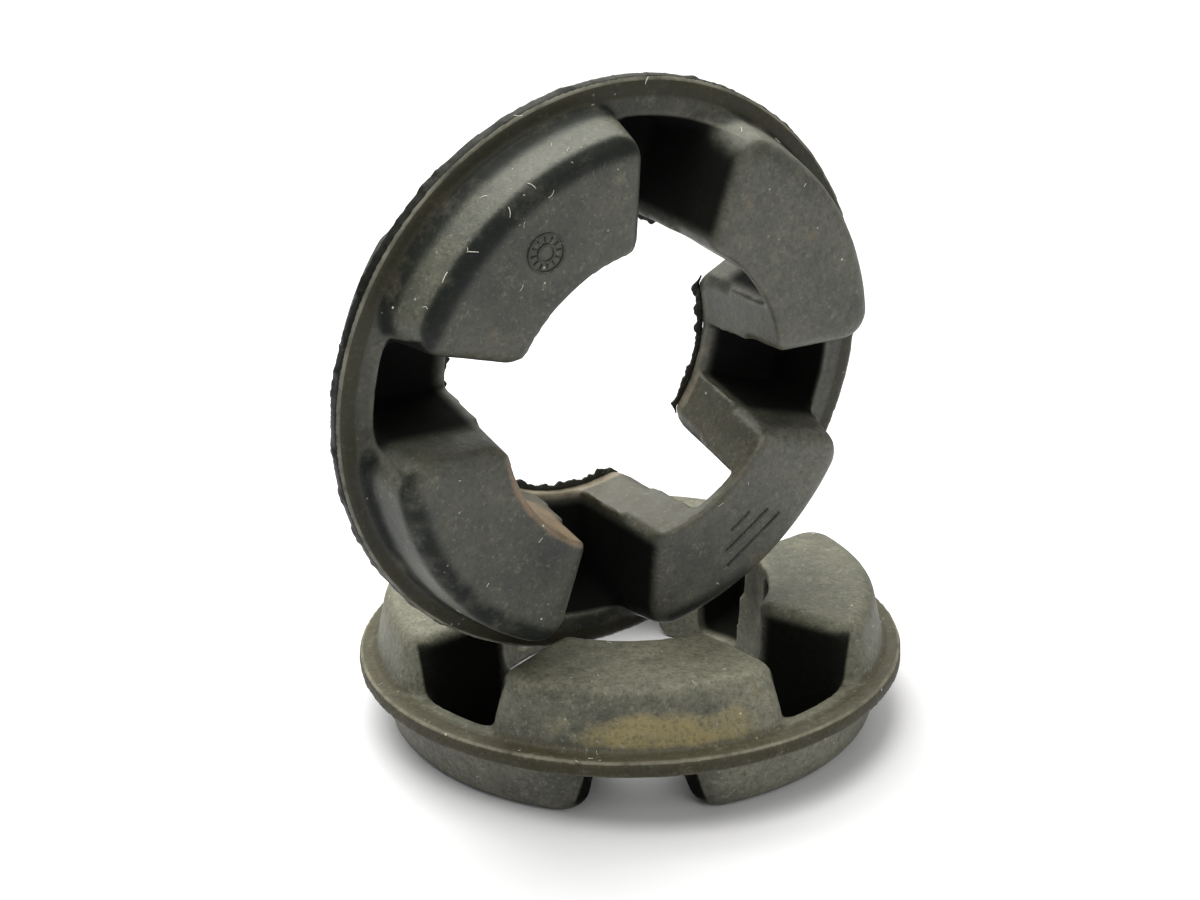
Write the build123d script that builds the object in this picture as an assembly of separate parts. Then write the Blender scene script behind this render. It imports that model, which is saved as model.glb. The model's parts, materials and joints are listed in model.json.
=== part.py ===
from build123d import *
import os
from math import cos, radians, sin, tan

# A pair of moulded rubber drive inserts for a flexible jaw coupling.
# Each insert is one corrugated ring: four lugs stand on each face of a thin middle flange, the rear set
# turned half a lug pitch from the front set, and each lug is hollow, with a pocket that opens on the
# opposite face and into the centre hole. The coupling's jaws fill those pockets.
# The lower insert lies flat and the upper one stands on its rim inside the lower one's centre hole.
# Millimetres, Z up. The origin is on the lower insert's axis, in the plane that its rear lugs rest on.

os.makedirs("parts", exist_ok=True)

# Ring
outer_diameter = 152.4
hole_diameter = 78.6
total_thickness = 36.5
flange_thickness = 4.7
rim_round = 0.6

# Lugs and pockets
lugs_per_face = 4
lug_radius_at_flange = 71.4
lug_radius_at_face = 68.0
cap_thickness = 3.6
mouth_half_width = 10.4  # pocket half width at the centre hole, at the open face
mouth_flare = 7.8  # degrees that each side of the mouth opens outwards
floor_half_width = 7.0  # pocket half width at the centre hole, on its floor
floor_flare = 6.6
pocket_radius_at_flange = 66.6
pocket_radius_at_floor = 63.0

# Rounded edges
lug_corner_round = 7.5
lug_edge_round = 4.6
lug_inner_chamfer = 2.2
lug_inner_edge_round = 0.8
pocket_corner_round = 3.0
pocket_floor_round = 1.6

# Resting place of the upper insert
upper_centre = (-4.7, -32.7, 107.0)
upper_heading = -60.1  # degrees round Z to the way its front face looks
upper_nod = 6.4  # degrees that the front face looks below level
upper_roll = -37.1  # degrees round its own axis, from straight up to a front lug

hole_radius = hole_diameter / 2
half_height = total_thickness / 2
half_flange = flange_thickness / 2
lug_pitch = 360 / lugs_per_face
floor_level = cap_thickness - half_height
inner_reach = 28.0  # the cutters run from here, inside the hole
outer_reach = 95.0  # to here, beyond the rim
overrun = 4.0  # and this far above the lugs
near = 1.0  # slack when edges are picked out by their distance from the axis


def pocketHalfWidth(height, distance):
    """Half width of a front pocket at a height above the mid plane and a distance from the axis."""
    share = (height - floor_level) / (half_height - floor_level)
    out = distance - hole_radius
    low = floor_half_width + out * tan(radians(floor_flare))
    high = mouth_half_width + out * tan(radians(mouth_flare))
    return low + share * (high - low)


def pocketSection(height):
    """The pocket's four-sided outline at one height, pointing along +X."""
    inner = pocketHalfWidth(height, inner_reach)
    outer = pocketHalfWidth(height, outer_reach)
    corners = [(inner_reach, -inner), (outer_reach, -outer), (outer_reach, outer), (inner_reach, inner)]
    return Pos(0, 0, height) * make_face(Polyline(*corners, close=True))


def turned(points):
    """A solid turned about Z from its outline in radius and height."""
    outline = make_face(Polyline(*points, close=True))
    return revolve(Plane.XZ * outline, Axis.Z)


def gapBetweenLugs():
    """What lies between two front lugs, above the flange: the pocket's mouth, open to the outside."""
    top = half_height + overrun
    return loft([pocketSection(half_flange), pocketSection(top)], ruled=True)


def pocketInFlange():
    """The rest of a front pocket: through the flange and down inside the rear lug below it."""
    wedge = loft([pocketSection(floor_level), pocketSection(half_flange)], ruled=True)
    wall = turned(
        [
            (0, floor_level),
            (pocket_radius_at_floor, floor_level),
            (pocket_radius_at_flange, half_flange),
            (0, half_flange),
        ]
    )
    pocket = wedge & wall
    outside = inner_reach + near
    upright = [
        edge
        for edge in pocket.edges()
        if edge.bounding_box().size.Z > cap_thickness and edge.center().X > outside
    ]
    pocket = fillet(upright, pocket_corner_round)
    floor_edges = [
        edge
        for edge in pocket.edges().group_by(Axis.Z)[0]
        if edge.center().X > outside
    ]
    return fillet(floor_edges, pocket_floor_round)


def frontLug():
    """One front lug on the +X axis, standing on the flange."""
    ring = turned(
        [
            (hole_radius, half_flange),
            (lug_radius_at_flange, half_flange),
            (lug_radius_at_face, half_height),
            (hole_radius, half_height),
        ]
    )
    gap = gapBetweenLugs()
    for side in (-1, 1):
        ring -= Rot(0, 0, side * lug_pitch / 2) * gap
    lug = ring.solids().sort_by(Axis.X)[-1]
    lug = lug.fillet(lug_corner_round, uprightEdges(lug, hole_radius + lug_corner_round, outer_reach))
    lug = lug.chamfer(lug_inner_chamfer, None, uprightEdges(lug, 0, hole_radius + near))
    face_edges = lug.edges().group_by(Axis.Z)[-1]
    outer_edges = [edge for edge in face_edges if reach(edge) > hole_radius + lug_inner_chamfer]
    lug = lug.fillet(lug_edge_round, outer_edges)
    face_edges = lug.edges().group_by(Axis.Z)[-1]
    inner_edges = [edge for edge in face_edges if reach(edge) < hole_radius + near / 2]
    return lug.fillet(lug_inner_edge_round, inner_edges)


def reach(edge):
    """Distance from the Z axis to the middle of an edge."""
    middle = edge @ 0.5
    return (middle.X**2 + middle.Y**2) ** 0.5


def uprightEdges(solid, nearest, farthest):
    """The edges that run up the solid, with their middles between two distances from the axis."""
    return [
        edge
        for edge in solid.edges()
        if edge.bounding_box().size.Z > cap_thickness and nearest < reach(edge) < farthest
    ]


def insert():
    """One whole insert, its axis on Z and its mid plane at height 0."""
    body = Cylinder(outer_diameter / 2, flange_thickness) - Cylinder(hole_radius, flange_thickness)
    body = Part() + body
    round_edges = body.edges().filter_by(GeomType.CIRCLE)
    rim = [edge for edge in round_edges if reach(edge) > hole_radius + near]
    body = fillet(rim, rim_round)
    lug = frontLug()
    pocket = pocketInFlange()
    flip = Rot(180, 0, 0)
    for number in range(lugs_per_face):
        front = Rot(0, 0, number * lug_pitch)
        rear = Rot(0, 0, (number + 0.5) * lug_pitch)
        body += front * lug
        body += rear * flip * lug
    for number in range(lugs_per_face):
        front = Rot(0, 0, number * lug_pitch)
        rear = Rot(0, 0, (number + 0.5) * lug_pitch)
        body -= rear * pocket
        body -= front * flip * pocket
    return body


def upperPlace():
    """Where the upper insert stands: its centre, the way its front face looks, and its roll."""
    heading, nod, roll = (radians(angle) for angle in (upper_heading, upper_nod, upper_roll))
    looks = Vector(cos(heading) * cos(nod), sin(heading) * cos(nod), -sin(nod))
    upward = Vector(cos(heading) * sin(nod), sin(heading) * sin(nod), cos(nod))
    lug_way = upward * cos(roll) + upward.cross(looks) * sin(roll)
    return Plane(origin=upper_centre, x_dir=lug_way, z_dir=looks)


ring = insert()
lower_insert = Pos(0, 0, half_height) * ring
upper_insert = upperPlace() * ring
for name, solid in (("lower_insert", lower_insert), ("upper_insert", upper_insert)):
    print(name, "valid", solid.is_valid, "volume", round(solid.volume), "mm3", solid.bounding_box())
    export_step(solid, f"parts/{name}.step")
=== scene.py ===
import bmesh
import bpy
import json
import random
from math import atan2, cos, degrees, pi, radians, sin
from mathutils import Matrix, Quaternion, Vector, noise


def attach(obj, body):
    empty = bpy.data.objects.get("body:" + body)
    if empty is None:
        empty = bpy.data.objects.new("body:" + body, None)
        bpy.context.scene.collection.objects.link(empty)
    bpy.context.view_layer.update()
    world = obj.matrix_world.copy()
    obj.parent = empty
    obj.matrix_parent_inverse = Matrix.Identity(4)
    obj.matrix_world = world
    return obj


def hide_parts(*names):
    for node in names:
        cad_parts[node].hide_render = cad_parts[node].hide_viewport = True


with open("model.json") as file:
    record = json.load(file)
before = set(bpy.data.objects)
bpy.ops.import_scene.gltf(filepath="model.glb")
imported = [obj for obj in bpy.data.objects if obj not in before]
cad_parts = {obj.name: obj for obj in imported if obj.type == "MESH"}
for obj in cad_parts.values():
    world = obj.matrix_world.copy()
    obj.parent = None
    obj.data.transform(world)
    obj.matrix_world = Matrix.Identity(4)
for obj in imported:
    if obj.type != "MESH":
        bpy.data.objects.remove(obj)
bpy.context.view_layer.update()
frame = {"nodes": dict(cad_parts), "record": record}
print("frame loaded")

mm = 0.001
mounts = {mount["name"]: mount for mount in frame["record"]["mounts"]}

# Sizes of one insert, the same for both. Radii and heights are from its own axis and mid plane.
insert = {
    "rim": 76.2 * mm,  # outside radius
    "hole": 39.3 * mm,
    "halfHeight": 18.25 * mm,
    "lugReach": 71.4 * mm,
    "lugHalfAngle": 26.4,  # degrees, at the hole
    "pocketReach": 66.6 * mm,
    "cap": 3.6 * mm,  # thickness of the floor at the end of each lug
    "pitch": 90,  # degrees from one lug to the next on the same face
}


def insertPlace(centre, axis, lugPoint):
    # an insert's own frame: Z along its axis, X through the middle of a front lug
    up = Vector(axis).normalized()
    out = Vector(lugPoint) - Vector(centre)
    out = (out - up * out.dot(up)).normalized()
    side = up.cross(out)
    return Matrix.Translation(centre) @ Matrix((out, side, up)).transposed().to_4x4()


upperPlace = insertPlace(
    mounts["upper_hub_axis"]["pos_m"],
    mounts["upper_hub_axis"]["axis"],
    mounts["upper_front_hub_face"]["pos_m"],
)
lowerPlace = insertPlace((0, 0, insert["halfHeight"]), (0, 0, 1), mounts["lower_hub_face"]["pos_m"])


camera = {
    "place": (-0.0169, -0.4770, 0.2470),
    "aim": (-0.0079, -0.0255, 0.0843),
    "roll": 1.07,  # degrees clockwise
    "lens": 55.5,
    "filmWidth": 36,
}


def makeCamera():
    data = bpy.data.cameras.new("camera")
    data.lens = camera["lens"]
    data.sensor_width = camera["filmWidth"]
    view = bpy.data.objects.new("camera", data)
    place = Vector(camera["place"])
    look = (Vector(camera["aim"]) - place).to_track_quat("-Z", "Y")
    view.matrix_world = (
        Matrix.Translation(place)
        @ look.to_matrix().to_4x4()
        @ Matrix.Rotation(-radians(camera["roll"]), 4, "Z")
    )
    bpy.context.scene.collection.objects.link(view)
    bpy.context.scene.camera = view


studio = {
    "floorColour": (0.75, 0.75, 0.82, 1),
    "floorSize": 14.0,
    "floorRoughness": 0.7,
    "floorSpecular": 0.2,
    "sky": (1.0, 1.0, 0.93, 1),
    "skyStrength": 0.36,
}
lamps = {
    # name: place, aim, width, depth, watts
    "overheadSoftbox": ((-0.35, 0.05, 1.35), (-0.05, -0.05, 0), 1.5, 1.3, 30.0),
    "frontSoftbox": ((0.9, -1.3, 1.2), (0.1, -0.2, 0), 1.0, 1.0, 9.0),
    "farSoftbox": ((0.0, 2.9, 2.4), (0.0, 2.3, 0), 4.5, 3.4, 125.0),
}
lampColour = (1.0, 0.995, 0.9)


def makeFloor():
    bm = bmesh.new()
    bmesh.ops.create_grid(bm, x_segments=2, y_segments=2, size=studio["floorSize"] / 2)
    mesh = bpy.data.meshes.new("floor")
    bm.to_mesh(mesh)
    bm.free()
    floor = bpy.data.objects.new("floor", mesh)
    bpy.context.scene.collection.objects.link(floor)
    material = bpy.data.materials.new("floorPaper")
    material.use_nodes = True
    shader = material.node_tree.nodes["Principled BSDF"]
    shader.inputs["Base Color"].default_value = studio["floorColour"]
    shader.inputs["Roughness"].default_value = studio["floorRoughness"]
    shader.inputs["Specular IOR Level"].default_value = studio["floorSpecular"]
    mesh.materials.append(material)


def makeLight():
    world = bpy.data.worlds.new("studio")
    world.use_nodes = True
    sky = world.node_tree.nodes["Background"]
    sky.inputs["Color"].default_value = studio["sky"]
    sky.inputs["Strength"].default_value = studio["skyStrength"]
    bpy.context.scene.world = world
    for name, (place, aim, width, depth, watts) in lamps.items():
        data = bpy.data.lights.new(name, "AREA")
        data.shape = "RECTANGLE"
        data.size = width
        data.size_y = depth
        data.energy = watts
        data.color = lampColour
        lamp = bpy.data.objects.new(name, data)
        lamp.location = place
        lamp.rotation_euler = (Vector(aim) - Vector(place)).to_track_quat("-Z", "Y").to_euler()
        bpy.context.scene.collection.objects.link(lamp)


makeCamera()
makeFloor()
makeLight()
bpy.context.scene.view_settings.view_transform = "Standard"
print("camera, floor and light ready")


class Graph:
    # short names for building a material's nodes
    def __init__(self, name):
        self.material = bpy.data.materials.new(name)
        self.material.use_nodes = True
        self.tree = self.material.node_tree
        self.shader = self.tree.nodes["Principled BSDF"]
        self.place = self.add("ShaderNodeTexCoord").outputs["Object"]

    def add(self, kind, **inputs):
        node = self.tree.nodes.new(kind)
        for name, value in inputs.items():
            self.feed(node.inputs[name.replace("_", " ")], value)
        return node

    def feed(self, socket, value):
        if isinstance(value, bpy.types.NodeSocket):
            self.tree.links.new(value, socket)
        else:
            socket.default_value = value

    def noise(self, scale, detail=4.0, roughness=0.55, place=None):
        node = self.add("ShaderNodeTexNoise", Scale=scale, Detail=detail, Roughness=roughness)
        self.feed(node.inputs["Vector"], place or self.place)
        return node.outputs["Fac"]

    def ramp(self, value, low, high):
        # 0 at low and before it, 1 at high and past it
        node = self.add("ShaderNodeMapRange", Value=value)
        node.inputs["From Min"].default_value = low
        node.inputs["From Max"].default_value = high
        return node.outputs["Result"]

    def maths(self, how, first, second=0.0):
        node = self.add("ShaderNodeMath")
        node.operation = how
        self.feed(node.inputs[0], first)
        self.feed(node.inputs[1], second)
        return node.outputs[0]

    def mix(self, share, first, second):
        node = self.add("ShaderNodeMix")
        node.data_type = "RGBA"
        self.feed(node.inputs["Factor"], share)
        for socket, value in ((node.inputs[6], first), (node.inputs[7], second)):
            self.feed(socket, value)
        return node.outputs[2]

    def attribute(self, name, output="Fac"):
        node = self.add("ShaderNodeAttribute")
        node.attribute_name = name
        return node.outputs[output]

    def ownPlace(self):
        # distance from the insert's axis and height above its mid plane
        split = self.add("ShaderNodeSeparateXYZ", Vector=self.attribute("ownPlace", "Vector"))
        flat = self.add("ShaderNodeCombineXYZ", X=split.outputs["X"], Y=split.outputs["Y"])
        reach = self.add("ShaderNodeVectorMath", Vector=flat.outputs["Vector"])
        reach.operation = "LENGTH"
        return reach.outputs["Value"], split.outputs["Z"]

    def times(self, first, second):
        return self.maths("MULTIPLY", first, second)

    def ring(self, reach, height, limits):
        # 1 where both the distance from the axis and the height are past their limits, in mm
        reachFrom, reachTo, heightFrom, heightTo = limits
        across = self.ramp(reach, reachFrom * mm, reachTo * mm)
        return self.times(across, self.ramp(height, heightFrom * mm, heightTo * mm))


# Scales of the rubber's patterns, in features per metre.
patterns = {
    "blotches": 30,
    "clouds": 110,
    "fine": 480,
    "grain": 1500,
    "stains": 62,
    "scratches": 150,
    "pores": 900,
    "flecks": 760,
    "scuffs": 190,
    "specks": 60,
    "speckCells": 330,
    "lumps": 260,
    "scratchStretch": (1.0, 7.0, 2.2),
    "scratchTurn": (0.4, 0.9, 0.5),
}
# Where a colour belongs to one part of the ring, in mm: distance from and to, then height from and to.
rings = {
    "flange": (71.0, 71.8, 3.0, 2.6),
    "rimSide": (75.0, 75.3, 1.75, 1.55),
    "rimLine": (75.15, 75.35, 1.6, 1.75),
    "pocketEdge": (67.0, 66.3),
}


def rubber(name, look):
    graph = Graph(name)
    ramp, times, mix = graph.ramp, graph.times, graph.mix
    blotches = graph.noise(patterns["blotches"], 5, 0.6)
    clouds = graph.noise(patterns["clouds"], 6, 0.66)
    fine = graph.noise(patterns["fine"], 5, 0.72)
    grain = graph.noise(patterns["grain"], 3, 0.6)
    reach, height = graph.ownPlace()
    # painted shade in the pockets: the deep attribute, only inside the pocket edge
    pocketFrom, pocketTo = rings["pocketEdge"]
    inPocket = ramp(reach, pocketFrom * mm, pocketTo * mm)
    deep = times(graph.attribute("deep"), inPocket)

    # bare rubber, dark stains in it, and a pale layer that is partly dust and partly painted light: a
    # painted highlight on the upper lugs' ridge and lighter painted sides
    colour = mix(ramp(blotches, 0.36, 0.66), look["dark"], look["mid"])
    stain = ramp(graph.noise(patterns["stains"], 6, 0.62), 0.52, 0.64)
    colour = mix(times(stain, look["stainShare"]), colour, look["dark"])
    dustAndPaintedLight = graph.maths("ADD", ramp(clouds, 0.35, 0.75), graph.attribute("dustAndPaintedLight"))
    dust = times(ramp(dustAndPaintedLight, 0.35, 1.6), ramp(fine, 0.2, 0.75))
    colour = mix(times(dust, look["dustShare"]), colour, look["dust"])

    # brown dirt, which on the lower insert also carries painted shade in the crease at the lugs' foot,
    # then ochre dirt
    for dirt in ("creaseShadeAndBrownDirt", "ochreDirt"):
        broken = graph.maths("ADD", graph.attribute(dirt), ramp(clouds, 0.3, 0.75))
        colour = mix(times(ramp(broken, 0.7, 1.5), look[dirt + "Share"]), colour, look[dirt])

    # scratches, pores, flecks and scuffs
    streaks = graph.add("ShaderNodeMapping", Vector=graph.place)
    streaks.inputs["Scale"].default_value = patterns["scratchStretch"]
    streaks.inputs["Rotation"].default_value = patterns["scratchTurn"]
    scratch = ramp(graph.noise(patterns["scratches"], 2, 0.5, streaks.outputs["Vector"]), 0.69, 0.73)
    scratch = times(scratch, ramp(fine, 0.45, 0.6))
    colour = mix(times(scratch, look["scratchShare"]), colour, look["edge"])
    pores = ramp(graph.noise(patterns["pores"], 4, 0.75), 0.5, 0.36)
    colour = mix(times(pores, look["poreShare"]), colour, look["black"])
    flecks = ramp(graph.noise(patterns["flecks"], 4, 0.8), 0.57, 0.72)
    colour = mix(times(flecks, look["fleckShare"]), colour, look["edge"])
    scuffs = ramp(graph.noise(patterns["scuffs"], 7, 0.8), 0.56, 0.68)
    colour = mix(times(scuffs, look["scuffShare"]), colour, look["dust"])

    # painted dark bands (a painted dark reflection above the upper lugs' ridge and painted shade at
    # the wall's foot), the flange, worn edges, painted shade in the pockets and the rim
    paintedDarkBands = times(graph.attribute("paintedDarkBands"), ramp(clouds, 0.8, 0.5))
    colour = mix(times(paintedDarkBands, look["paintedDarkBandShare"]), colour, look["paintedDarkBands"])
    onFlange = graph.ring(reach, height, rings["flange"])
    colour = mix(times(onFlange, look["flangeShare"]), colour, look["flange"])
    edge = times(graph.attribute("edgeWear"), ramp(clouds, 0.3, 0.6))
    colour = mix(times(edge, look["edgeShare"]), colour, look["edge"])
    # painted shade: the pockets painted near-black
    colour = mix(times(deep, look["deepShare"]), colour, look["black"])
    rimSide = graph.ring(reach, height, rings["rimSide"])
    colour = mix(times(rimSide, look["rimShare"]), colour, look["black"])
    rimLine = times(graph.ring(reach, height, rings["rimLine"]), ramp(clouds, 0.3, 0.6))
    colour = mix(times(rimLine, look["rimLineShare"]), colour, look["edge"])

    # pale specks, none of them deep in a pocket
    cells = graph.add("ShaderNodeTexVoronoi", Scale=patterns["speckCells"], Randomness=1.0)
    graph.feed(cells.inputs["Vector"], graph.place)
    near = ramp(cells.outputs["Distance"], 0.13, 0.07)
    chosen = graph.noise(patterns["specks"], 3, 0.6)
    chosen = ramp(chosen, look["speckFrom"], look["speckFrom"] + 0.04)
    speck = times(times(near, chosen), graph.maths("SUBTRACT", 1.0, deep))
    colour = mix(times(speck, look["speckShare"]), colour, look["lint"])
    graph.feed(graph.shader.inputs["Base Color"], colour)

    rough = times(ramp(clouds, 0.25, 0.8), look["roughSpread"])
    rough = graph.maths("ADD", rough, look["rough"])
    rough = graph.maths("ADD", rough, times(deep, look["deepRough"]))
    graph.feed(graph.shader.inputs["Roughness"], rough)
    # less gloss where the pockets get painted shade, on the painted dark bands, the rim's side and the
    # flange
    dull = graph.maths("MAXIMUM", deep, times(rimSide, 0.9))
    dull = graph.maths("MAXIMUM", dull, times(onFlange, 0.6))
    dull = graph.maths("MAXIMUM", dull, times(paintedDarkBands, 0.85))
    gloss = times(dull, look["deepSpecular"] - look["specular"])
    gloss = graph.maths("ADD", gloss, look["specular"])
    graph.feed(graph.shader.inputs["Specular IOR Level"], gloss)

    lumps = graph.add("ShaderNodeBump", Height=graph.noise(patterns["lumps"], 6, 0.7))
    lumps.inputs["Strength"].default_value = look["bumpLow"]
    lumps.inputs["Distance"].default_value = 0.35 * mm
    pits = graph.add("ShaderNodeBump", Height=grain, Normal=lumps.outputs["Normal"])
    pits.inputs["Strength"].default_value = look["bumpFine"]
    pits.inputs["Distance"].default_value = 0.12 * mm
    graph.feed(graph.shader.inputs["Normal"], pits.outputs["Normal"])
    return graph.material


upperLook = {
    "dark": (0.013, 0.016, 0.014, 1),
    "mid": (0.058, 0.059, 0.043, 1),
    # near-black colour of the painted dark bands
    "paintedDarkBands": (0.004, 0.006, 0.006, 1),
    "paintedDarkBandShare": 0.85,
    "stainShare": 0.35,
    # dust colour, also used for the painted highlight and painted light
    "dust": (0.135, 0.133, 0.100, 1),
    "dustShare": 0.8,
    "edge": (0.22, 0.215, 0.18, 1),
    "edgeShare": 0.5,
    "scratchShare": 0.3,
    "poreShare": 0.4,
    "fleckShare": 0.42,
    "scuffShare": 0.5,
    "creaseShadeAndBrownDirt": (0.040, 0.033, 0.016, 1),
    "creaseShadeAndBrownDirtShare": 0.85,
    "ochreDirt": (0.22, 0.145, 0.08, 1),
    "ochreDirtShare": 0.9,
    "black": (0.0012, 0.0020, 0.0015, 1),
    # how far the pockets are painted near-black as shade
    "deepShare": 0.97,
    "flange": (0.020, 0.019, 0.008, 1),
    "flangeShare": 0.55,
    "rimShare": 0.97,
    "rimLineShare": 0.65,
    "lint": (0.55, 0.55, 0.5, 1),
    "speckFrom": 0.6,
    "speckShare": 0.75,
    "rough": 0.38,
    "roughSpread": 0.22,
    "deepRough": 0.35,
    "specular": 0.5,
    "deepSpecular": 0.1,
    "bumpLow": 0.75,
    "bumpFine": 0.5,
}
lowerLook = dict(
    upperLook,
    dark=(0.030, 0.032, 0.023, 1),
    mid=(0.095, 0.094, 0.067, 1),
    dust=(0.23, 0.225, 0.17, 1),
    dustShare=0.85,
    edge=(0.36, 0.34, 0.28, 1),
    edgeShare=0.6,
    creaseShadeAndBrownDirt=(0.055, 0.048, 0.027, 1),
    ochreDirt=(0.22, 0.18, 0.078, 1),
    flange=(0.050, 0.044, 0.024, 1),
    flangeShare=0.4,
    rimShare=0.3,
    stainShare=0.7,
    poreShare=0.45,
    scuffShare=0.55,
    rimLineShare=0.3,
    speckFrom=0.58,
    rough=0.5,
)
# the mould marks are painted darker than the rubber, painted shade standing in for the shadow in
# engraved strokes
markShadeLook = dict(upperLook, dark=(0.008, 0.010, 0.008, 1), mid=(0.016, 0.017, 0.013, 1), dustShare=0.25)
# the flash keeps the marks' darker tone, so it carries that painted shade too
flashLook = dict(markShadeLook, dustShare=0.1, rough=0.6, bumpFine=0.8)
upperRubber = rubber("blackRubber", upperLook)
markShadeRubber = rubber("markShadeRubber", markShadeLook)
flashRubber = rubber("flashRubber", flashLook)
lowerRubber = rubber("wornRubber", lowerLook)
print("rubber materials ready")


moulding = {
    "voxel": 0.84 * mm,
    "smoothing": 2,
    "waves": 0.14 * mm,
    "ripples": 0.05 * mm,
    "edgeChips": 0.55 * mm,
    "rimTatter": {"upper": 0.75 * mm, "lower": 0.2 * mm},
    "tatterFrom": 75.2 * mm,  # distance from the axis
    "tatterBelow": 0.5 * mm,  # height above the mid plane
    "wornFrom": 0.05 * mm,
    "wornTo": 0.13 * mm,
    "wornSpread": 0.6,
    # scales of the unevenness, in features per metre
    "waveScale": 55,
    "rippleScale": 210,
    "chipScales": (330, 800),
    "tatterScales": (240, 620),
}


def smoothstep(low, high, value):
    share = min(1.0, max(0.0, (value - low) / (high - low)))
    return share * share * (3 - 2 * share)


def lugAngle(local, offset):
    # degrees from the nearest lug's centre line
    half = insert["pitch"] / 2
    angle = degrees(atan2(local.y, local.x)) - offset
    return (angle + half) % insert["pitch"] - half


def fade(limits, value):
    # from 0 to 1 between two limits in mm
    return smoothstep(limits[0] * mm, limits[1] * mm, value)


pocket = {
    # how the painted shade in a pocket runs out at its edges, in mm
    "halfWidth": 8.6,  # on the floor, at the hole
    "widening": 3.2,  # from the floor to the mouth
    "flare": 0.13,  # for each mm outwards
    "sideFade": (2.6, 1.2),
    "holeFade": (0.6, 4.5),
    "wallFade": (2.4, 1.6),
    "floorFade": (-1.6, -0.4),
    "mouthFade": (17.7025, 14.965),
    "lit": (3, 9),
    "litShare": 0.8,
}


def pocketDepth(local, facingUp=0.0):
    # how deep in a pocket or in the gap between two lugs a point lies: 0 outside, 1 inside. This also
    # sets the painted shade in the pockets, lessened where a surface near the mouth faces up into the
    # light.
    height, reach = local.z, local.xy.length
    floor = insert["halfHeight"] - insert["cap"]
    clear = fade(pocket["holeFade"], reach - insert["hole"])
    clear *= fade(pocket["wallFade"], reach - insert["pocketReach"])
    deepest = 0.0
    for side, offset in ((1, insert["pitch"] / 2), (-1, 0)):
        level = height * side
        inside = fade(pocket["mouthFade"], level) * fade(pocket["floorFade"], level + floor)
        rise = (level / insert["halfHeight"] + 1) / 2
        halfWidth = (pocket["halfWidth"] + pocket["widening"] * rise) * mm
        halfWidth += (reach - insert["hole"]) * pocket["flare"]
        across = abs(reach * sin(radians(lugAngle(local, offset))))
        inside *= fade(pocket["sideFade"], across - halfWidth)
        inLight = fade(pocket["lit"], level) * facingUp
        deepest = max(deepest, inside * (1 - pocket["litShare"] * inLight))
    return deepest * clear


upperZones = {
    # where each look fades in, from and to, in mm: distances from the axis ...
    "holeWall": (41.7, 40.3),
    "flange": (69.4, 71.9),
    "ridgeReach": (64, 66),
    "darkBandReach": (61.5, 64.5),
    "wallReach": (67, 68.5),
    # ... heights above the insert's mid plane ...
    "capTop": (-14.0, -14.8),
    "capBottom": (-18.2, -17.6),
    "tanFrom": (-9, -6),
    "ridgeFoot": (6.5, 9.5),
    "ridgeTop": (17.2, 15.6),
    "darkBandFrom": (15.2, 16.8),
    "wallTop": (9.5, 6),
    "wallFoot": (2, 3),
    "rightTop": (13, 16),
    # ... and places in the scene
    "lowHalf": (10, -30),
    "right": (-30, 50),
    "rightHigh": (90, 140),
    "leftHigh": (85, 115),
    "left": (35, -10),
    "notRight": (50, 0),
    "rightLug": (30, 50),
    "rightLow": (100, 90),
}
tanPatch = {"middle": 92, "from": 30, "to": 24}  # degrees round the hole


def paintUpper(local, spot):
    def zone(name, value):
        return fade(upperZones[name], value)

    reach, height = local.xy.length, local.z
    onHole = zone("holeWall", reach)
    low = zone("lowHalf", spot.z - upperPlace.translation.z)
    capSide = zone("capTop", height) * zone("capBottom", height)
    onFlange = zone("flange", reach)
    brown = max(onHole * (0.25 + 0.6 * low), 0.75 * onFlange)
    turn = abs(degrees(atan2(local.y, local.x)) - tanPatch["middle"])
    tan = onHole * smoothstep(tanPatch["from"], tanPatch["to"], turn) * zone("tanFrom", height)
    tan = max(tan, 0.75 * onHole * capSide * low)
    # the wall's upper part gets a pale layer, partly dust and partly a painted highlight; the right
    # side and the lower right lug's top are painted lighter, partly dust and partly painted light; the
    # rubber above the ridge gets a painted dark reflection band and the wall's foot painted shade
    toRight = zone("right", spot.x) * (0.6 + 0.4 * zone("rightHigh", spot.z))
    ridge = zone("ridgeFoot", height) * zone("ridgeTop", height) * zone("ridgeReach", reach)
    topLeft = zone("leftHigh", spot.z) * zone("left", spot.x)
    dustAndPaintedLight = max(0.1 + 0.85 * toRight, ridge * (0.15 + 0.4 * topLeft)) * (1 - 0.9 * onFlange)
    dustAndPaintedLight += 0.9 * zone("rightLug", spot.x) * zone("rightLow", spot.z) * zone("rightTop", height)
    # painted dark bands: a painted dark reflection on the face above the ridge and painted shade at
    # the wall's foot
    paintedDarkBands = zone("darkBandFrom", height) * zone("darkBandReach", reach) * zone("notRight", spot.x)
    onWall = zone("wallTop", height) * zone("wallFoot", height) * zone("wallReach", reach)
    return {
        "creaseShadeAndBrownDirt": brown,
        "ochreDirt": 0.95 * tan,
        "dustAndPaintedLight": dustAndPaintedLight,
        "paintedDarkBands": max(paintedDarkBands, onWall),
        "pale": onHole * capSide,
        "unworn": 0.85 * onFlange,
    }


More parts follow.
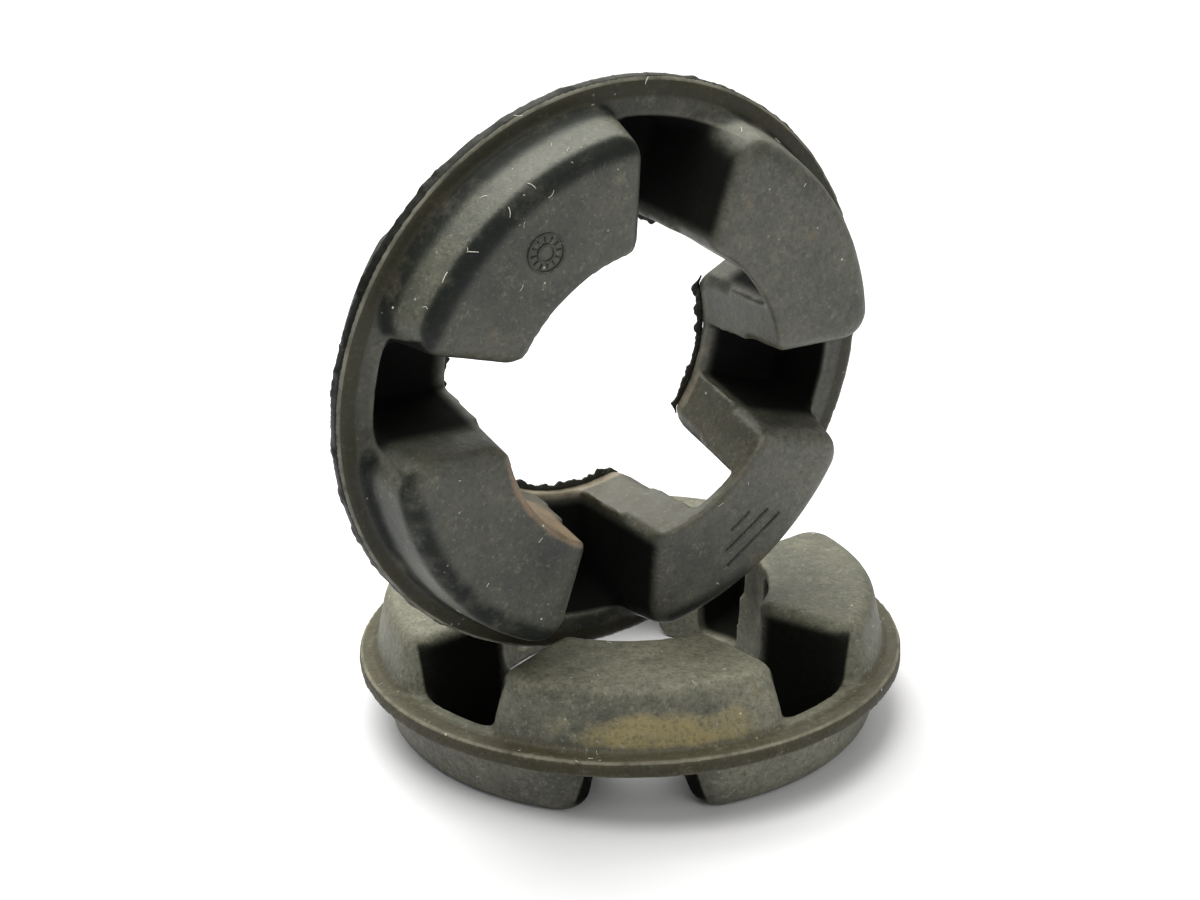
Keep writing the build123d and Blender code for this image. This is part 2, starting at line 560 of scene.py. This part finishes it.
lowerZones = {
    # as for the upper insert
    "lugReach": (62.4, 69.4),
    "ochreReach": (76, 73.5),
    "rimReach": (70, 72),
    "footFrom": (69.5, 70.5),
    "footTo": (73, 72),
    "rimDust": (76, 71),
    "unworn": (71, 73),
    "ochreTop": (14, 9),
    "ochreFoot": (2.6, 4.6),
    "frontFace": (-3, -1),
    "footTop": (4.6, 3.2),
    "footBottom": (1.5, 2.2),
    "lugTop": (15.5, 17.8),
    "left": (-20, -55),
    "aboveFlange": (20, 28),
    "right": (15, 30),
    "front": (-30, -50),
    "nearest": (-30, -40),
}
ochrePatch = {"middle": 8 * mm, "from": 26, "to": 9}  # how far right, and degrees to each side


def paintLower(local, spot):
    def zone(name, value):
        return fade(lowerZones[name], value)

    reach, height = local.xy.length, local.z
    turn = abs(degrees(atan2(spot.x - ochrePatch["middle"], -spot.y)))
    ochre = smoothstep(ochrePatch["from"], ochrePatch["to"], turn)
    ochre *= zone("lugReach", reach) * zone("ochreReach", reach)
    ochre *= zone("ochreTop", height) * zone("ochreFoot", height)
    # the band at the lugs' foot is painted shade in the crease there, in a brown tone; the brown on
    # the flange and rim is dirt
    foot = zone("footTop", height) * zone("footBottom", height)
    foot *= zone("footFrom", reach) * zone("footTo", reach)
    brown = max(0.75 * zone("rimReach", reach) * zone("frontFace", height), 1.3 * foot)
    # a pale layer: dust on the lug tops, most on the front lugs; the left lugs above the flange and
    # the front right side are painted lighter, partly dust and partly painted light
    nearest = zone("nearest", spot.y)
    dustAndPaintedLight = 0.4 + zone("lugTop", height) * (0.2 + 0.4 * nearest)
    dustAndPaintedLight += 0.4 * zone("left", spot.x) * zone("aboveFlange", spot.z)
    dustAndPaintedLight += 0.9 * zone("right", spot.x) * zone("front", spot.y) * nearest
    return {
        "creaseShadeAndBrownDirt": brown,
        "ochreDirt": ochre,
        "dustAndPaintedLight": dustAndPaintedLight * (0.4 + 0.6 * zone("rimDust", reach)),
        "paintedDarkBands": 0.0,
        "pale": 0.0,
        "unworn": 0.6 * zone("unworn", reach),
    }


def remeshed(node, place):
    # a copy of the node's shape in its own frame, in even small faces
    mesh = frame["nodes"][node].data.copy()
    mesh.materials.clear()
    bm = bmesh.new()
    bm.from_mesh(mesh)
    bmesh.ops.remove_doubles(bm, verts=bm.verts, dist=0.002 * mm)
    bmesh.ops.transform(bm, matrix=place.inverted(), verts=bm.verts)
    bm.to_mesh(mesh)
    bm.free()
    shape = bpy.data.objects.new("shape", mesh)
    bpy.context.scene.collection.objects.link(shape)
    modifier = shape.modifiers.new("even", "REMESH")
    modifier.mode = "VOXEL"
    modifier.voxel_size = moulding["voxel"]
    bpy.context.view_layer.update()
    ready = shape.evaluated_get(bpy.context.evaluated_depsgraph_get())
    even = bpy.data.meshes.new_from_object(ready)
    bpy.data.objects.remove(shape)
    return even


def wornEdges(bm):
    # how far each point stands out above its neighbours
    worn = []
    for vert in bm.verts:
        around = Vector()
        for edge in vert.link_edges:
            around += edge.other_vert(vert).co
        sunk = (vert.co - around / len(vert.link_edges)).dot(vert.normal)
        worn.append(smoothstep(moulding["wornFrom"], moulding["wornTo"], sunk))
    spread = list(worn)
    for vert in bm.verts:
        around = [worn[edge.other_vert(vert).index] for edge in vert.link_edges]
        spread[vert.index] = max(worn[vert.index], moulding["wornSpread"] * sum(around) / len(around))
    return spread


def rubberBody(node, rider, place, even, material, paint, seed):
    bm = bmesh.new()
    bm.from_mesh(even)
    for _ in range(moulding["smoothing"]):
        bmesh.ops.smooth_vert(
            bm, verts=bm.verts, factor=0.5, use_axis_x=True, use_axis_y=True, use_axis_z=True
        )
    bm.normal_update()
    bm.verts.index_update()
    worn = wornEdges(bm)
    names = ("edgeWear", "creaseShadeAndBrownDirt", "ochreDirt", "dustAndPaintedLight", "paintedDarkBands", "deep")
    layers = {name: bm.verts.layers.float.new(name) for name in names}
    ownPlace = bm.verts.layers.float_vector.new("ownPlace")
    shift = Vector((seed * 0.7, seed * 0.3, 0))
    for vert in bm.verts:
        local = vert.co.copy()
        reach = local.xy.length
        values = paint(local, place @ local)
        values["edgeWear"] = max(worn[vert.index] * (1 - values["unworn"]), values["pale"])
        # painted shade for the pockets, lessened where a surface faces up
        facingUp = smoothstep(0.2, 0.8, (place.to_3x3() @ vert.normal).z)
        values["deep"] = pocketDepth(local, facingUp)
        vert[ownPlace] = local
        for name in names:
            vert[layers[name]] = values[name]
        probe = local + shift
        swell = noise.noise(probe * moulding["waveScale"]) * moulding["waves"]
        swell += noise.noise(probe * moulding["rippleScale"]) * moulding["ripples"]
        coarse, small = moulding["chipScales"]
        chips = max(0.0, noise.noise(probe * coarse) + 0.35 * noise.noise(probe * small) - 0.22)
        swell -= worn[vert.index] * chips * moulding["edgeChips"]
        vert.co += vert.normal * swell
        if reach > moulding["tatterFrom"] and local.z < moulding["tatterBelow"]:
            coarse, small = moulding["tatterScales"]
            tatter = max(0.0, noise.noise(probe * coarse) + 0.5 * noise.noise(probe * small))
            outward = Vector((local.x, local.y, 0)).normalized()
            vert.co += outward * tatter * moulding["rimTatter"][rider]
    bmesh.ops.transform(bm, matrix=place, verts=bm.verts)
    mesh = bpy.data.meshes.new(node + "Mesh")
    bm.to_mesh(mesh)
    bm.free()
    mesh.polygons.foreach_set("use_smooth", [True] * len(mesh.polygons))
    mesh.materials.append(material)
    piece = bpy.data.objects.new(node + "_moulding", mesh)
    bpy.context.scene.collection.objects.link(piece)
    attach(piece, rider)
    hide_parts(node)
    print(node, "moulding:", 2 * len(mesh.polygons), "triangles")
    return piece


evenShape = remeshed("lower_insert", lowerPlace)
upperBody = rubberBody(
    "upper_insert", "upper", upperPlace, evenShape, upperRubber, paintUpper, 1
)
lowerBody = rubberBody(
    "lower_insert", "lower", lowerPlace, evenShape, lowerRubber, paintLower, 2
)


# Moulding flash: a thin ragged skin left along the edges where the mould closed.
flash = {
    "thickness": 0.5 * mm,
    "segments": 110,
    "innerWidth": 1.0 * mm,
    "innerRagged": 1.5 * mm,
    "waviness": 0.5 * mm,
    "endLift": 0.62 * mm,  # for each degree past the lug's end
    "pastLug": 2.2,  # degrees that it runs on past the lug's end
    "overlap": 0.5 * mm,  # how far it reaches into the rubber
    "aboveFace": 0.35 * mm,
    "taperFrom": 0.93,
    "ragScales": (2.3, 5.3, 11.0),
}


def addPiece(name, bm, rider, material, smooth=True):
    bmesh.ops.recalc_face_normals(bm, faces=bm.faces)
    mesh = bpy.data.meshes.new(name + "Mesh")
    bm.to_mesh(mesh)
    bm.free()
    mesh.polygons.foreach_set("use_smooth", [smooth] * len(mesh.polygons))
    mesh.materials.append(material)
    piece = bpy.data.objects.new(name, mesh)
    bpy.context.scene.collection.objects.link(piece)
    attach(piece, rider)
    return piece


def holeFlash(number):
    # along the inner edge of one rear lug of the upper insert
    bm = bmesh.new()
    bmesh.ops.create_grid(bm, x_segments=flash["segments"], y_segments=3, size=0.5)
    middle = insert["pitch"] * (number + 0.5)
    reach = insert["lugHalfAngle"] + flash["pastLug"]
    coarse, medium, small = flash["ragScales"]
    for vert in bm.verts:
        along, across = vert.co.x * 2, vert.co.y + 0.5  # -1 to 1, 0 to 1
        turn = along * reach
        angle = radians(middle + turn)
        probe = Vector((turn * 0.09, number * 3.1, 0))
        ragged = max(0.0, noise.noise(probe * coarse) + 0.6 * noise.noise(probe * medium) + 0.25)
        ragged += 0.15 * max(0.0, noise.noise(probe * small))
        taper = smoothstep(1.0, flash["taperFrom"], abs(along))
        width = (flash["innerWidth"] + ragged * flash["innerRagged"]) * taper
        edge = insert["hole"] + max(0.0, abs(turn) - insert["lugHalfAngle"]) * flash["endLift"]
        radius = edge + flash["overlap"] - across * (width + flash["overlap"])
        lift = noise.noise(probe * 4.0 + Vector((0, 0, across))) * flash["waviness"] * across
        level = -insert["halfHeight"] + flash["aboveFace"] + lift
        vert.co = Vector((radius * cos(angle), radius * sin(angle), level))
    bmesh.ops.recalc_face_normals(bm, faces=bm.faces)
    bmesh.ops.solidify(bm, geom=bm.faces[:], thickness=flash["thickness"])
    bmesh.ops.transform(bm, matrix=upperPlace, verts=bm.verts)
    addPiece(f"upper_hole_flash_{number + 1}", bm, "upper", flashRubber)


for number in range(4):
    holeFlash(number)
print("flash ready")


# Plain mould marks on two lug faces.
marks = {
    "dialRadius": 4.6 * mm,
    "dialPlace": (52.5 * mm, -1.0 * mm),
    "innerRing": 0.45,  # share of the dial's radius
    "tickMiddle": 0.72,
    "tickSize": (1.3 * mm, 0.4 * mm),
    "barPlaces": (50.5 * mm, 54.5 * mm, 58.5 * mm),
    "barLengths": (7.0 * mm, 16.0 * mm, 20.0 * mm),
    "lineWidth": 0.6 * mm,
    "barWidth": 0.72 * mm,
    "height": 0.38 * mm,
    "sunk": 0.3 * mm,
    "rounding": 0.12 * mm,
    "ringSteps": 48,
    "ticks": 12,
}


def addBar(bm, place, length, turn, width):
    # one raised bar with rounded edges on the front face
    low = insert["halfHeight"] - marks["sunk"]
    tall = marks["height"] + marks["sunk"]
    made = bmesh.ops.create_cube(bm, size=1.0)["verts"]
    bmesh.ops.scale(bm, vec=(length, width, tall), verts=made)
    edges = list({edge for vert in made for edge in vert.link_edges})
    bmesh.ops.rotate(bm, matrix=Matrix.Rotation(turn, 3, "Z"), verts=made)
    bmesh.ops.translate(bm, vec=(place[0], place[1], low + tall / 2), verts=made)
    bmesh.ops.bevel(
        bm,
        geom=edges,
        offset=marks["rounding"],
        segments=2,
        profile=0.5,
        affect="EDGES",
        material=-1,
    )


def addRing(bm, place, radius, width):
    low = insert["halfHeight"] - marks["sunk"]
    tall = marks["height"] + marks["sunk"]
    centre = Vector((place[0], place[1], low + tall / 2))
    made = bmesh.ops.create_grid(bm, x_segments=1, y_segments=1, size=0.5)["verts"]
    bmesh.ops.scale(bm, vec=(width, tall, 1), verts=made)
    bmesh.ops.rotate(bm, matrix=Matrix.Rotation(pi / 2, 3, "X"), verts=made)
    bmesh.ops.translate(bm, vec=centre + Vector((radius, 0, 0)), verts=made)
    edges = list({edge for vert in made for edge in vert.link_edges})
    faces = list({face for vert in made for face in vert.link_faces})
    bmesh.ops.delete(bm, geom=faces, context="FACES_ONLY")
    bmesh.ops.spin(
        bm,
        geom=made + edges,
        cent=centre,
        axis=(0, 0, 1),
        angle=2 * pi,
        steps=marks["ringSteps"],
        use_merge=True,
    )


def mouldMarks():
    bm = bmesh.new()
    dial = marks["dialPlace"]
    for radius in (marks["dialRadius"], marks["dialRadius"] * marks["innerRing"]):
        addRing(bm, dial, radius, marks["lineWidth"])
    for number in range(marks["ticks"]):
        turn = 2 * pi * number / marks["ticks"]
        middle = marks["dialRadius"] * marks["tickMiddle"]
        spot = (dial[0] + middle * cos(turn), dial[1] + middle * sin(turn))
        addBar(bm, spot, marks["tickSize"][0], turn, marks["tickSize"][1])
    for radius, length in zip(marks["barPlaces"], marks["barLengths"]):
        addBar(bm, (-radius, 0), length, pi / 2, marks["barWidth"])
    bmesh.ops.transform(bm, matrix=upperPlace, verts=bm.verts)
    addPiece("upper_mould_marks", bm, "upper", markShadeRubber, smooth=False)


mouldMarks()
print("mould marks ready")


# Lint: short pale fibres caught on the rubber.
lint = {
    "upper": 46,
    "lower": 30,
    "shortest": 0.4 * mm,
    "longest": 2.6 * mm,
    "thickness": 0.075 * mm,
    "steps": 5,
    "mostBend": 1.6,  # radians
    "lift": 0.06 * mm,
    "colours": ((0.42, 0.41, 0.36, 1), (0.72, 0.72, 0.68, 1)),
}


def lintMaterial():
    graph = Graph("paleLint")
    shade = graph.mix(graph.noise(300, 2, 0.5), *lint["colours"])
    graph.feed(graph.shader.inputs["Base Color"], shade)
    graph.shader.inputs["Roughness"].default_value = 0.85
    graph.shader.inputs["Specular IOR Level"].default_value = 0.2
    return graph.material


paleLint = lintMaterial()


def addLint(body, rider, likes, seed):
    # likes says how readily a fibre stays at a point with a normal, from 0 to 1
    chance = random.Random(seed)
    polygons = body.data.polygons
    bm = bmesh.new()
    placed = 0
    while placed < lint[rider]:
        face = polygons[chance.randrange(len(polygons))]
        if chance.random() > likes(face.center, face.normal):
            continue
        placed += 1
        normal = face.normal.normalized()
        side = normal.orthogonal().normalized()
        side.rotate(Quaternion(normal, chance.uniform(0, 2 * pi)))
        length = lint["shortest"] + (lint["longest"] - lint["shortest"]) * chance.random() ** 2.2
        bend = chance.uniform(-lint["mostBend"], lint["mostBend"])
        across = normal.cross(side)
        made = bmesh.ops.create_circle(
            bm, cap_ends=True, segments=4, radius=lint["thickness"] * chance.uniform(0.7, 1.4)
        )["verts"]
        turn = Vector((0, 0, 1)).rotation_difference(side).to_matrix()
        bmesh.ops.rotate(bm, matrix=turn, verts=made)
        start = face.center + normal * lint["lift"] - side * length / 2
        bmesh.ops.translate(bm, vec=start, verts=made)
        tip = list({face for vert in made for face in vert.link_faces})
        for step in range(lint["steps"]):
            grown = bmesh.ops.extrude_face_region(bm, geom=tip)["geom"]
            ends = [part for part in grown if isinstance(part, bmesh.types.BMVert)]
            if step:
                bmesh.ops.delete(bm, geom=tip, context="FACES_ONLY")
            tip = [part for part in grown if isinstance(part, bmesh.types.BMFace)]
            veer = bend * (step / lint["steps"] - 0.3)
            go = (side * cos(veer) + across * sin(veer)) * length / lint["steps"]
            bmesh.ops.translate(bm, vec=go, verts=ends)
    addPiece(rider + "_lint", bm, rider, paleLint)


def likesUpper(spot, normal):
    local = upperPlace.inverted() @ spot
    front = (upperPlace.to_3x3().inverted() @ normal).z
    if local.z < 0 or front < 0.15 or pocketDepth(local) > 0.3:
        return 0.0
    ridge = fade((60, 66), local.xy.length) * fade((8, 14), local.z)
    topLeft = fade((20, -20), spot.x) * fade((90, 120), spot.z)
    return 0.12 + 0.88 * ridge * topLeft


def likesLower(spot, normal):
    if spot.y > 0.02 or pocketDepth(lowerPlace.inverted() @ spot) > 0.3:
        return 0.0
    return smoothstep(0.2, 0.9, normal.z) * 0.8 + 0.05


addLint(upperBody, "upper", likesUpper, 11)
addLint(lowerBody, "lower", likesLower, 12)
print("lint ready")
